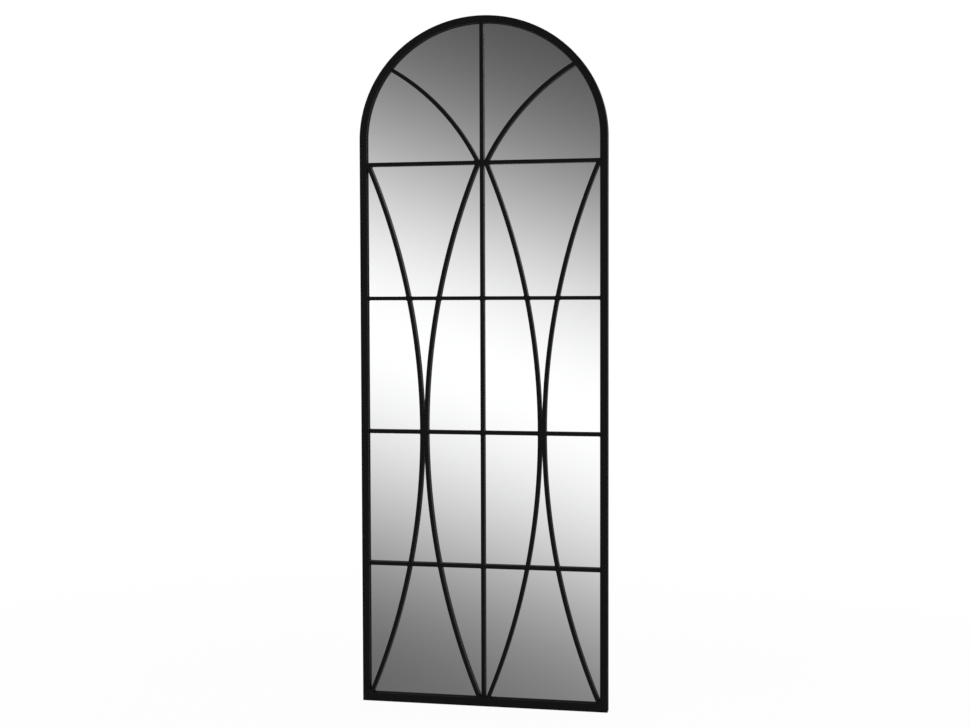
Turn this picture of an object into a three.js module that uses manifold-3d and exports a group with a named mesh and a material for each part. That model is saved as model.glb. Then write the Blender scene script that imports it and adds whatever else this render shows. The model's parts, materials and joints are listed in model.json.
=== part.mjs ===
// Arched window mirror: a tall mirror in a black steel tube frame, with a lattice of
// glazing bars over the glass like that of an arched window.
//
// Millimetres. +X to the right seen from the front, +Y back towards the wall, +Z up.
// The origin is the centre of the base rail's underside, where the mirror stands.

import * as THREE from 'three';
import { mergeVertices } from 'three/addons/utils/BufferGeometryUtils.js';
import Module from 'manifold-3d';

const wasm = await Module();
wasm.setup();

// ---------------------------------------------------------------- driving dimensions

// Frame: one rectangular tube for the stiles and the arch, a slightly taller one for the base.
const HEIGHT = 1800;
const WIDTH = 655;
const DEPTH = 27;
const ARCH_RISE = 314.5;
const FRAME_FACE = 19;
const BASE_FACE = 22;
const TUBE_WALL = 1.5;
const TUBE_CORNER = 2;

// Lattice: square bars, flush with each other, halved into each other where they cross.
const BAR_FACE = 10;
const BAR_DEPTH = 10;
const BAR_SETBACK = 0.5;
const BAR_CHAMFER = 0.6;
const RAIL_NAMES = ['rail_top', 'rail_upper', 'rail_middle', 'rail_lower'];
const TOP_RAIL_DROP = 63;
const FOOT_NODE_DROP = 3.5;
const BOW_PAIR_GAP = 1.3;
const BOW_CORNER_INSET = 2.4;
const HEAD_ARC_RADIUS = 595;
const HEAD_ARC_DROP = 267;

// Glazing: pane, foam tape and backing board, dropped in from behind onto setting blocks.
const GLASS = 4;
const GLASS_ARRIS = 0.5;
const PANE_EDGE = 1;
const TAPE = 1;
const TAPE_WIDTH = 25;
const TAPE_SPACING = 200;
const TAPE_END_MARGIN = 40;
const BOARD = 3;
const BOARD_EDGE = 1.5;
const SETTING_BLOCK = 2;
const SETTING_BLOCK_LENGTH = 50;
const SETTING_BLOCK_SPACING = 360;

// Retaining clips: cranked steel tabs from the tube's back down to the board.
const SHEET = 1.2;
const BEND_RADIUS = 1;
const CLIP_WIDTH = 16;
const CLIP_SEAT = 15;
const CLIP_REACH = 14;
const STILE_CLIPS = 3;
const BASE_CLIPS = 2;
const ARCH_CLIP_ANGLES = [40, 90, 140];

// Pan-head screws, the same for clips and hangers.
const SCREW_SHANK = 3;
const SCREW_LENGTH = 10;
const SCREW_TIP = 3;
const SCREW_HEAD = 6.4;
const SCREW_HEAD_HEIGHT = 2;
const RECESS_SPAN = 3.4;
const RECESS_WIDTH = 0.8;
const RECESS_DEPTH = 1.1;

// Hangers: a strap with a rolled eye, and a D-ring of bent wire that swings in it.
const HANGER_DROP = 90;
const STRAP_WIDTH = 10;
const STRAP_LENGTH = 40;
const STRAP_SCREW_DROPS = [21.5, 33.5];
const RING_WIRE = 2.5;
const RING_INSIDE_WIDTH = 13;
const RING_INSIDE_HEIGHT = 13;
const RING_BEND = 2.5;

// Rubber bumpers that keep the frame off the wall.
const BUMPER_HEIGHT = 6;
const BUMPER_RIM = 0.8;
const BUMPER_FOOT = 45;
const BUMPER_HEAD_DROP = 30;

// Clearance between pieces that rest on each other or are let into each other.
const GAP = 0.3;

// How far a cutter runs past what it cuts.
const CUT_MARGIN = 1;

// Facets of the round forms.
const ARCH_STEPS = 72;
const BOW_STEPS = 36;
const HEAD_ARC_STEPS = 48;
const RING_STEPS = 40;
const RING_SIDES = 8;
const ROUND_SIDES = 12;
const CORNER_STEPS = 3;
const BEND_STEPS = 4;
const EYE_STEPS = 16;

// ---------------------------------------------------------------- places worked out

const FRONT = -DEPTH / 2;
const REAR = DEPTH / 2;
const HALF_WIDTH = WIDTH / 2;
const HALF_FACE = FRAME_FACE / 2;
const HALF_BAR = BAR_FACE / 2;
const OPENING_HALF = HALF_WIDTH - FRAME_FACE;
const STILE_LINE = HALF_WIDTH - HALF_FACE;
const SPRINGING = HEIGHT - ARCH_RISE;

// Layers from front to back.
const BAR_FRONT = FRONT + BAR_SETBACK;
const BAR_REAR = BAR_FRONT + BAR_DEPTH;
const LAP_PLANE = (BAR_FRONT + BAR_REAR) / 2;
const PANE_FRONT = BAR_REAR + GAP;
const PANE_REAR = PANE_FRONT + GLASS;
const TAPE_FRONT = PANE_REAR + GAP;
const TAPE_REAR = TAPE_FRONT + TAPE;
const BOARD_FRONT = TAPE_REAR + GAP;
const BOARD_REAR = BOARD_FRONT + BOARD;

// Hardware sits on the frame's back, the screw heads on the sheet.
const SEAT = REAR + GAP;
const HEAD_SEAT = SEAT + SHEET + GAP;

// The pane and the board stand on the setting blocks.
const PANE_FOOT = BASE_FACE + SETTING_BLOCK + 2 * GAP;

// Heights of the rails' centre lines, from the top one down, evenly spaced. The next one down
// would be the foot node, where the bows meet again just under the base rail's top edge.
const TOP_RAIL = SPRINGING - TOP_RAIL_DROP;
const RAIL_PITCH = (TOP_RAIL - BASE_FACE + FOOT_NODE_DROP) / RAIL_NAMES.length;
const railHeights = RAIL_NAMES.map((name, index) => TOP_RAIL - index * RAIL_PITCH);
const [, , MIDDLE_RAIL] = railHeights;

const SIDES = [['left', -1], ['right', 1]];

// ---------------------------------------------------------------- finishes

const finish = (color, roughness, metalness) => new THREE.MeshStandardMaterial({
  color, roughness, metalness, flatShading: true,
});
const blackPaint = finish(0x17181a, 0.5, 0.1);
const silvering = finish(0xe8eaea, 0.02, 1);
const hardboard = finish(0x6b4a30, 0.8, 0);
const foam = finish(0xdedcd2, 0.9, 0);
const zincPlate = finish(0xb9bcbe, 0.35, 1);
const rubber = finish(0x1d1d1e, 0.85, 0);

// ---------------------------------------------------------------- solids

/** A closed geometry as a solid that can be cut and joined. */
function solidOf(geometry) {
  const bare = geometry.clone();
  bare.deleteAttribute('normal');
  bare.deleteAttribute('uv');
  const merged = mergeVertices(bare);
  return new wasm.Manifold(new wasm.Mesh({
    numProp: 3,
    vertProperties: Float32Array.from(merged.attributes.position.array),
    triVerts: Uint32Array.from(merged.index.array),
  }));
}

/** A named mesh from a solid. */
function meshOf(name, solid, material) {
  const { vertProperties, triVerts } = solid.getMesh();
  const geometry = new THREE.BufferGeometry();
  geometry.setAttribute('position', new THREE.BufferAttribute(Float32Array.from(vertProperties), 3));
  geometry.setIndex(new THREE.BufferAttribute(Uint32Array.from(triVerts), 1));
  geometry.computeVertexNormals();
  const mesh = new THREE.Mesh(geometry, material);
  mesh.name = name;
  return mesh;
}

/** An outline from [across, up] pairs. */
function outline(points) {
  return new THREE.Shape(points.map(([across, up]) => new THREE.Vector2(across, up)));
}

/** An outline in X and Z given thickness from yFront back to yRear. */
function upright(shape, yFront, yRear, { chamfer = 0, arcSteps = 24 } = {}) {
  const geometry = new THREE.ExtrudeGeometry(shape, {
    depth: yRear - yFront - 2 * chamfer,
    bevelEnabled: chamfer > 0,
    bevelThickness: chamfer,
    bevelSize: chamfer,
    bevelOffset: -chamfer,
    bevelSegments: 1,
    curveSegments: arcSteps / 2,
  });
  geometry.rotateX(Math.PI / 2);
  geometry.translate(0, yRear - chamfer, 0);
  return solidOf(geometry);
}

/** A rectangular block between its lowest and its highest corner. */
function block([x0, y0, z0], [x1, y1, z1]) {
  const geometry = new THREE.BoxGeometry(x1 - x0, y1 - y0, z1 - z0);
  geometry.translate((x0 + x1) / 2, (y0 + y1) / 2, (z0 + z1) / 2);
  return solidOf(geometry);
}

/** A round rod along Y from y0 to y1. */
function rodAlongY(diameter, x, z, y0, y1) {
  const geometry = new THREE.CylinderGeometry(diameter / 2, diameter / 2, y1 - y0, ROUND_SIDES);
  geometry.translate(x, (y0 + y1) / 2, z);
  return solidOf(geometry);
}

// ---------------------------------------------------------------- frame tube

/** Points of a rectangle round (0, 0) with rounded corners. */
function roundedRectangle(width, depth, radius) {
  const [x, y] = [width / 2 - radius, depth / 2 - radius];
  const corners = [[x, -y], [x, y], [-x, y], [-x, -y]];
  return corners.flatMap(([cornerX, cornerY], index) => {
    const points = [];
    for (let step = 0; step <= CORNER_STEPS; step += 1) {
      const angle = (index - 1 + step / CORNER_STEPS) * (Math.PI / 2);
      points.push([cornerX + radius * Math.cos(angle), cornerY + radius * Math.sin(angle)]);
    }
    return points;
  });
}

/** Section of a tube with its bore: `face` across and DEPTH front to back, laid out by `place`. */
function tubeSection(face, place = (point) => point) {
  const [x, y] = [face / 2 - TUBE_WALL, DEPTH / 2 - TUBE_WALL];
  const bore = [[x, -y], [x, y], [-x, y], [-x, -y]];
  const section = outline(roundedRectangle(face, DEPTH, TUBE_CORNER).map(place));
  section.holes.push(outline(bore.map(place)));
  return section;
}

/** Centre line of the arched tube: half an ellipse from the right springing to the left. */
class ArchLine extends THREE.Curve {
  constructor() {
    super();
    this.halfSpan = STILE_LINE;
    this.rise = ARCH_RISE - HALF_FACE;
  }

  getPoint(t, target = new THREE.Vector3()) {
    const angle = t * Math.PI;
    return target.set(this.halfSpan * Math.cos(angle), 0, SPRINGING + this.rise * Math.sin(angle));
  }

  getTangent(t, target = new THREE.Vector3()) {
    const angle = t * Math.PI;
    return target.set(-this.halfSpan * Math.sin(angle), 0, this.rise * Math.cos(angle)).normalize();
  }

  /** The way from the line to the opening, square to the tube. */
  inward(t) {
    const tangent = this.getTangent(t);
    return new THREE.Vector3(-tangent.z, 0, tangent.x);
  }
}

const archLine = new ArchLine();

/** The frame's opening, drawn in by `edge` at the sides and the arch, from the height `foot` up. */
function openingShape(edge, foot) {
  const half = OPENING_HALF - edge;
  const points = [[-half, foot], [half, foot]];
  for (let step = 0; step <= ARCH_STEPS; step += 1) {
    const t = step / ARCH_STEPS;
    const point = archLine.getPoint(t).addScaledVector(archLine.inward(t), HALF_FACE + edge);
    points.push([point.x, point.z]);
  }
  return outline(points);
}

/** Where the retaining clips sit: a point on the tube's centre line and the way to the opening. */
function clipSeats() {
  const seats = [];
  for (const [side, sign] of SIDES) {
    for (let index = 0; index < STILE_CLIPS; index += 1) {
      const [x, z] = [sign * STILE_LINE, (SPRINGING * (index + 0.5)) / STILE_CLIPS];
      seats.push({ name: `${side}_${index + 1}`, x, z, inward: [-sign, 0], half: HALF_FACE });
    }
  }
  for (let index = 0; index < BASE_CLIPS; index += 1) {
    const x = OPENING_HALF * ((2 * index + 1) / BASE_CLIPS - 1);
    seats.push({ name: `base_${index + 1}`, x, z: BASE_FACE / 2, inward: [0, 1], half: BASE_FACE / 2 });
  }
  ARCH_CLIP_ANGLES.forEach((degrees, index) => {
    const { x, z } = archLine.getPoint(degrees / 180);
    const way = archLine.inward(degrees / 180);
    seats.push({ name: `arch_${index + 1}`, x, z, inward: [way.x, way.z], half: HALF_FACE });
  });
  return seats;
}

const clips = clipSeats();
const EYE_HEIGHT = SPRINGING - HANGER_DROP;

/** Holes for all the screws through the back walls of the tubes. */
function screwHoles() {
  const places = clips.map(({ x, z }) => [x, z]);
  for (const [, sign] of SIDES) {
    for (const drop of STRAP_SCREW_DROPS) {
      places.push([sign * STILE_LINE, EYE_HEIGHT - drop]);
    }
  }
  const diameter = SCREW_SHANK + 2 * GAP;
  return wasm.Manifold.union(places.map(([x, z]) => rodAlongY(
    diameter, x, z, REAR - TUBE_WALL - CUT_MARGIN, REAR + CUT_MARGIN,
  )));
}

/** What the mitre takes off a tube at one bottom corner, so that its faces stay GAP apart. */
function mitreWaste(sign, member) {
  const slope = BASE_FACE / FRAME_FACE;
  const shift = (GAP / 2) * Math.hypot(1, slope) * (member === 'stile' ? 1 : -1);
  const heel = [sign * (HALF_WIDTH + CUT_MARGIN), shift - slope * CUT_MARGIN];
  const toe = [sign * (OPENING_HALF - CUT_MARGIN), BASE_FACE + shift + slope * CUT_MARGIN];
  const third = member === 'stile' ? [toe[0], heel[1]] : [heel[0], toe[1]];
  return upright(outline([heel, toe, third]), FRONT - CUT_MARGIN, REAR + CUT_MARGIN);
}

function frameArch(holes) {
  const quarterTurn = ([across, back]) => [-back, across];
  const tube = new THREE.ExtrudeGeometry(tubeSection(FRAME_FACE, quarterTurn), {
    steps: ARCH_STEPS,
    extrudePath: archLine,
  });
  return meshOf('frame_arch', solidOf(tube).subtract(holes), blackPaint);
}

function frameStile(side, sign, holes) {
  const tube = new THREE.ExtrudeGeometry(tubeSection(FRAME_FACE), {
    depth: SPRINGING - GAP,
    bevelEnabled: false,
  });
  tube.translate(sign * STILE_LINE, 0, 0);
  const solid = solidOf(tube).subtract(mitreWaste(sign, 'stile')).subtract(holes);
  return meshOf(`frame_stile_${side}`, solid, blackPaint);
}

function frameBaseRail(holes) {
  const tube = new THREE.ExtrudeGeometry(tubeSection(BASE_FACE), { depth: WIDTH, bevelEnabled: false });
  tube.rotateY(-Math.PI / 2);
  tube.translate(HALF_WIDTH, 0, BASE_FACE / 2);
  let solid = solidOf(tube).subtract(holes);
  for (const [, sign] of SIDES) {
    solid = solid.subtract(mitreWaste(sign, 'base'));
  }
  return meshOf('frame_base_rail', solid, blackPaint);
}

function frame() {
  const holes = screwHoles();
  const group = new THREE.Group();
  group.add(frameArch(holes), frameBaseRail(holes));
  for (const [side, sign] of SIDES) {
    group.add(frameStile(side, sign, holes));
  }
  return group;
}

// ---------------------------------------------------------------- lattice

/** Outline of a bent bar, which is a stretch of a ring. */
function ringStretch({ x, z, radius, from, to }, width) {
  const shape = new THREE.Shape();
  shape.absarc(x, z, radius + width / 2, from, to, false);
  shape.absarc(x, z, radius - width / 2, to, from, true);
  return shape;
}

/** Bow from the top rail to the base, through its end and its apex at the middle rail. */
function bowThrough(endX, apexX) {
  const halfChord = TOP_RAIL - MIDDLE_RAIL;
  const sagitta = Math.abs(endX - apexX);
  const radius = (halfChord ** 2 + sagitta ** 2) / (2 * sagitta);
  const x = apexX + Math.sign(endX - apexX) * radius;
  const facing = x > 0 ? Math.PI : 0;
  const halfAngle = Math.asin((halfChord + 2 * BAR_FACE) / radius);
  return { x, z: MIDDLE_RAIL, radius, from: facing - halfAngle, to: facing + halfAngle };
}

const BAY_CENTRE = (HALF_BAR + OPENING_HALF) / 2;
const PAIR_HALF = (BOW_PAIR_GAP + BAR_FACE) / 2;
const NODE_OFFSET = BAR_FACE + GAP;

/** The two bows on one side: the outer from the stile's corner, the inner from the mullion. */
const CORNER_END = OPENING_HALF - BOW_CORNER_INSET;
const bows = SIDES.map(([side, sign]) => [
  [`bow_outer_${side}`, bowThrough(sign * CORNER_END, sign * (BAY_CENTRE + PAIR_HALF))],
  [`bow_inner_${side}`, bowThrough(sign * NODE_OFFSET, sign * (BAY_CENTRE - PAIR_HALF))],
]);

/** Room at the front of a rail for the bars that pass over it. */
function frontLaps(railHeight) {
  const width = BAR_FACE + 2 * GAP;
  const yFront = FRONT - CUT_MARGIN;
  const yRear = LAP_PLANE + GAP / 2;
  const across = (x0, x1) => block([x0, yFront, railHeight - BAR_FACE], [x1, yRear, railHeight + BAR_FACE]);
  const cuts = [across(-width / 2, width / 2)];
  if (railHeight !== TOP_RAIL) {
    for (const [, bow] of bows.flat()) {
      cuts.push(upright(ringStretch(bow, width), yFront, yRear, { arcSteps: BOW_STEPS }));
    }
  }
  if (railHeight === MIDDLE_RAIL) {
    cuts.push(across(BAY_CENTRE - PAIR_HALF, BAY_CENTRE + PAIR_HALF));
    cuts.push(across(-BAY_CENTRE - PAIR_HALF, -BAY_CENTRE + PAIR_HALF));
  }
  return wasm.Manifold.union(cuts);
}

/** Room at the back of the mullion and the bows for the rails that they pass over. */
function rearLaps(heights) {
  const half = HALF_BAR + GAP;
  return wasm.Manifold.union(heights.map((height) => block(
    [-HALF_WIDTH, LAP_PLANE - GAP / 2, height - half],
    [HALF_WIDTH, BAR_REAR + CUT_MARGIN, height + half],
  )));
}

/** A bar of the lattice before it is cut to its place. */
function barStock(shape, arcSteps) {
  return upright(shape, BAR_FRONT, BAR_REAR, { chamfer: BAR_CHAMFER, arcSteps });
}

/** Straight bar between two corners. */
function straightBar([x0, z0], [x1, z1]) {
  return barStock(outline([[x0, z0], [x1, z0], [x1, z1], [x0, z1]]));
}

/** The space beside the mullion between two heights, where the curved bars of one side lie. */
function bay(sign, low, high) {
  const [x0, x1] = sign < 0 ? [-HALF_WIDTH, -HALF_BAR - GAP] : [HALF_BAR + GAP, HALF_WIDTH];
  return block([x0, FRONT, low], [x1, REAR, high]);
}

function rails() {
  const end = OPENING_HALF - GAP;
  return railHeights.map((height, index) => {
    const bar = straightBar([-end, height - HALF_BAR], [end, height + HALF_BAR]);
    return meshOf(RAIL_NAMES[index], bar.subtract(frontLaps(height)), blackPaint);
  });
}

function mullion(daylight) {
  const bar = straightBar([-HALF_BAR, 0], [HALF_BAR, HEIGHT]).intersect(daylight);
  return meshOf('mullion', bar.subtract(rearLaps(railHeights)), blackPaint);
}

function lowerBows(daylight) {
  const laps = rearLaps(railHeights.slice(1));
  return SIDES.flatMap(([, sign], index) => {
    const room = daylight.intersect(bay(sign, 0, TOP_RAIL - HALF_BAR - GAP));
    return bows[index].map(([name, bow]) => {
      const bar = barStock(ringStretch(bow, BAR_FACE), BOW_STEPS);
      return meshOf(name, bar.intersect(room).subtract(laps), blackPaint);
    });
  });
}

function headArcs(daylight) {
  const x = NODE_OFFSET + Math.sqrt(HEAD_ARC_RADIUS ** 2 - HEAD_ARC_DROP ** 2);
  return SIDES.map(([side, sign]) => {
    const from = sign < 0 ? 0 : Math.PI / 2;
    const circle = { x: sign * x, z: TOP_RAIL - HEAD_ARC_DROP, radius: HEAD_ARC_RADIUS };
    const shape = ringStretch({ ...circle, from, to: from + Math.PI / 2 }, BAR_FACE);
    const room = daylight.intersect(bay(sign, TOP_RAIL + HALF_BAR + GAP, HEIGHT));
    return meshOf(`head_arc_${side}`, barStock(shape, HEAD_ARC_STEPS).intersect(room), blackPaint);
  });
}

function lattice() {
  const opening = openingShape(GAP, BASE_FACE + GAP);
  const daylight = upright(opening, FRONT - CUT_MARGIN, REAR + CUT_MARGIN);
  const group = new THREE.Group();
  group.add(mullion(daylight), ...rails(), ...lowerBows(daylight), ...headArcs(daylight));
  return group;
}

// ---------------------------------------------------------------- glazing

function mirrorPane() {
  const shape = openingShape(PANE_EDGE, PANE_FOOT);
  return meshOf('mirror_pane', upright(shape, PANE_FRONT, PANE_REAR, { chamfer: GLASS_ARRIS }), silvering);
}

function backingBoard() {
  const shape = openingShape(BOARD_EDGE, PANE_FOOT);
  return meshOf('backing_board', upright(shape, BOARD_FRONT, BOARD_REAR), hardboard);
}

function foamTapes() {
  return ['left', 'centre', 'right'].map((place, index) => {
    const x = (index - 1) * TAPE_SPACING;
    const strip = block(
      [x - TAPE_WIDTH / 2, TAPE_FRONT, PANE_FOOT + TAPE_END_MARGIN],
      [x + TAPE_WIDTH / 2, TAPE_REAR, SPRINGING - TAPE_END_MARGIN],
    );
    return meshOf(`foam_tape_${place}`, strip, foam);
  });
}

function settingBlocks() {
  return SIDES.map(([side, sign]) => {
    const x = (sign * SETTING_BLOCK_SPACING) / 2;
    const pad = block(
      [x - SETTING_BLOCK_LENGTH / 2, PANE_FRONT, BASE_FACE + GAP],
      [x + SETTING_BLOCK_LENGTH / 2, BOARD_REAR, PANE_FOOT - GAP],
    );
    return meshOf(`setting_block_${side}`, pad, rubber);
  });
}

function glazing() {
  const group = new THREE.Group();
  group.add(mirrorPane(), backingBoard(), ...foamTapes(), ...settingBlocks());
  return group;
}

// ---------------------------------------------------------------- clips and screws

/**
 * Cranked clip. X runs from the tube's inner edge to the opening, Y back, Z along the tube.
 * One flange lies on the tube's back, the other on the board.
 */
function clipStock() {
  const archHollow = CLIP_WIDTH ** 2 / (8 * (ARCH_RISE - FRAME_FACE));
  const web = GAP + archHollow;
  const low = BOARD_REAR + GAP;
  const bend = Math.min(BEND_RADIUS, 0.45 * (SEAT - low - SHEET));
  const outerBend = bend + SHEET;
  const shape = new THREE.Shape();
  shape.moveTo(-CLIP_SEAT, SEAT);
  shape.absarc(web - bend, SEAT - bend, bend, Math.PI / 2, 0, true);
  shape.absarc(web + outerBend, low + outerBend, outerBend, Math.PI, 1.5 * Math.PI, false);
  shape.lineTo(web + CLIP_REACH, low);
  shape.lineTo(web + CLIP_REACH, low + SHEET);
  shape.absarc(web + outerBend, low + outerBend, bend, 1.5 * Math.PI, Math.PI, true);
  shape.absarc(web - bend, SEAT - bend, outerBend, 0, Math.PI / 2, false);
  shape.lineTo(-CLIP_SEAT, SEAT + SHEET);
  const strip = new THREE.ExtrudeGeometry(shape, {
    depth: CLIP_WIDTH,
    bevelEnabled: false,
    curveSegments: BEND_STEPS / 2,
  });
  strip.translate(0, 0, -CLIP_WIDTH / 2);
  return solidOf(strip);
}

/** Pan-head screw with a cross recess. It points along -Y, with the head's underside at Y = 0. */
function screwStock() {
  const shank = SCREW_SHANK / 2;
  const head = SCREW_HEAD / 2;
  const profile = [
    [0, -SCREW_LENGTH],
    [shank, SCREW_TIP - SCREW_LENGTH],
    [shank, 0],
    [head, 0],
    [head, 0.5 * SCREW_HEAD_HEIGHT],
    [0.82 * head, 0.88 * SCREW_HEAD_HEIGHT],
    [0.6 * head, SCREW_HEAD_HEIGHT],
    [0, SCREW_HEAD_HEIGHT],
  ].map(([radius, y]) => new THREE.Vector2(radius, y));
  const turned = solidOf(new THREE.LatheGeometry(profile, ROUND_SIDES));
  const slot = (x, z) => block(
    [-x / 2, SCREW_HEAD_HEIGHT - RECESS_DEPTH, -z / 2],
    [x / 2, SCREW_HEAD_HEIGHT + CUT_MARGIN, z / 2],
  );
  return turned.subtract(slot(RECESS_SPAN, RECESS_WIDTH).add(slot(RECESS_WIDTH, RECESS_SPAN)));
}

const screw = screwStock();

/** Clearance hole for a screw through a sheet that lies on the frame's back. */
function sheetHole(x, z) {
  return rodAlongY(SCREW_SHANK + 2 * GAP, x, z, SEAT - CUT_MARGIN, SEAT + SHEET + CUT_MARGIN);
}

function retainingClips() {
  const stock = clipStock();
  const group = new THREE.Group();
  for (const { name, x, z, inward, half } of clips) {
    const clip = meshOf(`clip_${name}`, stock.subtract(sheetHole(-half, 0)), zincPlate);
    const fastener = meshOf(`clip_screw_${name}`, screw, zincPlate);
    fastener.position.set(-half, HEAD_SEAT, 0);
    const pair = new THREE.Group();
    pair.add(clip, fastener);
    pair.position.set(x + inward[0] * half, 0, z + inward[1] * half);
    pair.rotation.y = Math.atan2(-inward[1], inward[0]);
    group.add(pair);
  }
  return group;
}

// ---------------------------------------------------------------- hangers

const EYE_BORE = RING_WIRE / 2 + GAP;
const EYE_OFFSET = SHEET + EYE_BORE;

/** Strap hanger. Its eye lies on the X axis, and its leg hangs down the frame's back. */
function strapStock() {
  const outer = EYE_BORE + SHEET;
  const mouth = -Math.acos(-(EYE_BORE - GAP) / outer);
  const shape = new THREE.Shape();
  shape.moveTo(-EYE_OFFSET, -STRAP_LENGTH);
  shape.absarc(0, 0, outer, Math.PI, mouth, true);
  shape.absarc(0, 0, EYE_BORE, mouth, Math.PI, false);
  shape.lineTo(-EYE_BORE, -STRAP_LENGTH);
  const strip = new THREE.ExtrudeGeometry(shape, {
    depth: STRAP_WIDTH,
    bevelEnabled: false,
    curveSegments: EYE_STEPS / 2,
  });
  strip.translate(0, 0, -STRAP_WIDTH / 2);
  strip.rotateX(Math.PI / 2);
  strip.rotateZ(Math.PI / 2);
  return solidOf(strip);
}

/** Centre line of the D-ring, from the middle of its straight side round and back. */
function ringPath() {
  const half = (RING_INSIDE_WIDTH + RING_WIRE) / 2;
  const straight = RING_INSIDE_HEIGHT + RING_WIRE - half;
  const at = (x, z) => new THREE.Vector3(x, 0, z);
  const corner = (sign) => new THREE.QuadraticBezierCurve3(
    at(sign > 0 ? half - RING_BEND : -half, sign > 0 ? 0 : -RING_BEND),
    at(sign * half, 0),
    at(sign > 0 ? half : -half + RING_BEND, sign > 0 ? -RING_BEND : 0),
  );
  const path = new THREE.CurvePath();
  path.add(new THREE.LineCurve3(at(GAP / 2, 0), at(half - RING_BEND, 0)));
  path.add(corner(1));
  path.add(new THREE.LineCurve3(at(half, -RING_BEND), at(half, -straight)));
  path.add(new BowCurve(half, -straight));
  path.add(new THREE.LineCurve3(at(-half, -straight), at(-half, -RING_BEND)));
  path.add(corner(-1));
  path.add(new THREE.LineCurve3(at(-half + RING_BEND, 0), at(-GAP / 2, 0)));
  return path;
}

/** Half circle below the height z, from +X round to -X. */
class BowCurve extends THREE.Curve {
  constructor(radius, z) {
    super();
    this.radius = radius;
    this.z = z;
  }

  getPoint(t, target = new THREE.Vector3()) {
    const angle = -t * Math.PI;
    return target.set(this.radius * Math.cos(angle), 0, this.z + this.radius * Math.sin(angle));
  }
}

function ringStock() {
  const section = new THREE.Shape();
  section.absarc(0, 0, RING_WIRE / 2, 0, 2 * Math.PI, false);
  return solidOf(new THREE.ExtrudeGeometry(section, {
    steps: RING_STEPS,
    extrudePath: ringPath(),
    curveSegments: RING_SIDES / 2,
  }));
}

function hangers() {
  const ring = ringStock();
  let strap = strapStock();
  for (const drop of STRAP_SCREW_DROPS) {
    strap = strap.subtract(sheetHole(0, -drop).translate([0, -SEAT - EYE_OFFSET, 0]));
  }
  const group = new THREE.Group();
  for (const [side, sign] of SIDES) {
    const hanger = new THREE.Group();
    hanger.position.set(sign * STILE_LINE, SEAT + EYE_OFFSET, EYE_HEIGHT);
    hanger.add(meshOf(`hanger_strap_${side}`, strap, zincPlate));
    hanger.add(meshOf(`hanger_ring_${side}`, ring, zincPlate));
    STRAP_SCREW_DROPS.forEach((drop, index) => {
      const fastener = meshOf(`hanger_screw_${side}_${index + 1}`, screw, zincPlate);
      fastener.position.set(0, HEAD_SEAT - SEAT - EYE_OFFSET, -drop);
      hanger.add(fastener);
    });
    group.add(hanger);
  }
  return group;
}

// ---------------------------------------------------------------- bumpers

function bumpers() {
  const radius = HALF_FACE - TUBE_CORNER - GAP;
  const profile = [
    [0, 0],
    [radius, 0],
    [radius, BUMPER_RIM],
    [0.9 * radius, 0.6 * BUMPER_HEIGHT],
    [0.7 * radius, 0.9 * BUMPER_HEIGHT],
    [0.5 * radius, BUMPER_HEIGHT],
    [0, BUMPER_HEIGHT],
  ].map(([across, back]) => new THREE.Vector2(across, back));
  const stock = solidOf(new THREE.LatheGeometry(profile, ROUND_SIDES));
  const group = new THREE.Group();
  for (const [side, sign] of SIDES) {
    for (const [place, z] of [['foot', BUMPER_FOOT], ['head', SPRINGING - BUMPER_HEAD_DROP]]) {
      const bumper = meshOf(`bumper_${place}_${side}`, stock, rubber);
      bumper.position.set(sign * STILE_LINE, SEAT, z);
      group.add(bumper);
    }
  }
  return group;
}

// ---------------------------------------------------------------- the mirror

const mirror = new THREE.Group();
mirror.add(frame(), lattice(), glazing(), retainingClips(), hangers(), bumpers());

export default mirror;
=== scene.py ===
"""Looks of the arched window mirror: black steel frame and lattice, silvered pane, and the back."""

import json
import math

import bmesh
import bpy
import numpy as np
from mathutils import Euler, Matrix, Vector
from mathutils.geometry import delaunay_2d_cdt


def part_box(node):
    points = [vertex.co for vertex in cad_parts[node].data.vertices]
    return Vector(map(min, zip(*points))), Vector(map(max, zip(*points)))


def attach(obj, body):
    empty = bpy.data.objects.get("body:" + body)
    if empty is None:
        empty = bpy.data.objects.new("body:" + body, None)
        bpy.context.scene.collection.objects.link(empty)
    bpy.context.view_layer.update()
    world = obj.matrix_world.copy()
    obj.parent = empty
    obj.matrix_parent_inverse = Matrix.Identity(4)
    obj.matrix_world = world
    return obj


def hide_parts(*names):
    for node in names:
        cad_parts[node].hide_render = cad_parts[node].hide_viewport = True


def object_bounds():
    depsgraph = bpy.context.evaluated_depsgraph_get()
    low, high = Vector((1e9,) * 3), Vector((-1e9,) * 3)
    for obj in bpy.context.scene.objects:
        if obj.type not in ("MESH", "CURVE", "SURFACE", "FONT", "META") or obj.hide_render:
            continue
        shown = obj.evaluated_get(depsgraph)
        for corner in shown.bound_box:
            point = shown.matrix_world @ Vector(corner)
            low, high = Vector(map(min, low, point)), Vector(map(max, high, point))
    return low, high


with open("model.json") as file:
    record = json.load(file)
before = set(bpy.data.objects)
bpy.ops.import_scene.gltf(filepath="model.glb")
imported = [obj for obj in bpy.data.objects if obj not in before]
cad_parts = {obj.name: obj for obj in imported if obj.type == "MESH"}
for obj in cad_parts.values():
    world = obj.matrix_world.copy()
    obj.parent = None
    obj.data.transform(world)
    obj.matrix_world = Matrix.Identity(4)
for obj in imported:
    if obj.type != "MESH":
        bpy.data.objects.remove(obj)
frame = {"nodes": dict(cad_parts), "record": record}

CAD_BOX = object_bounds()
MM = 0.001

# ---------------------------------------------------------------- sizes read from the frame


def span(node, axis):
    """Lowest and highest coordinate of a node along one axis."""
    low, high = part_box(node)
    return low[axis], high[axis]


def middle(node, axis):
    """Middle of a node along one axis."""
    return sum(span(node, axis)) / 2


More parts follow.
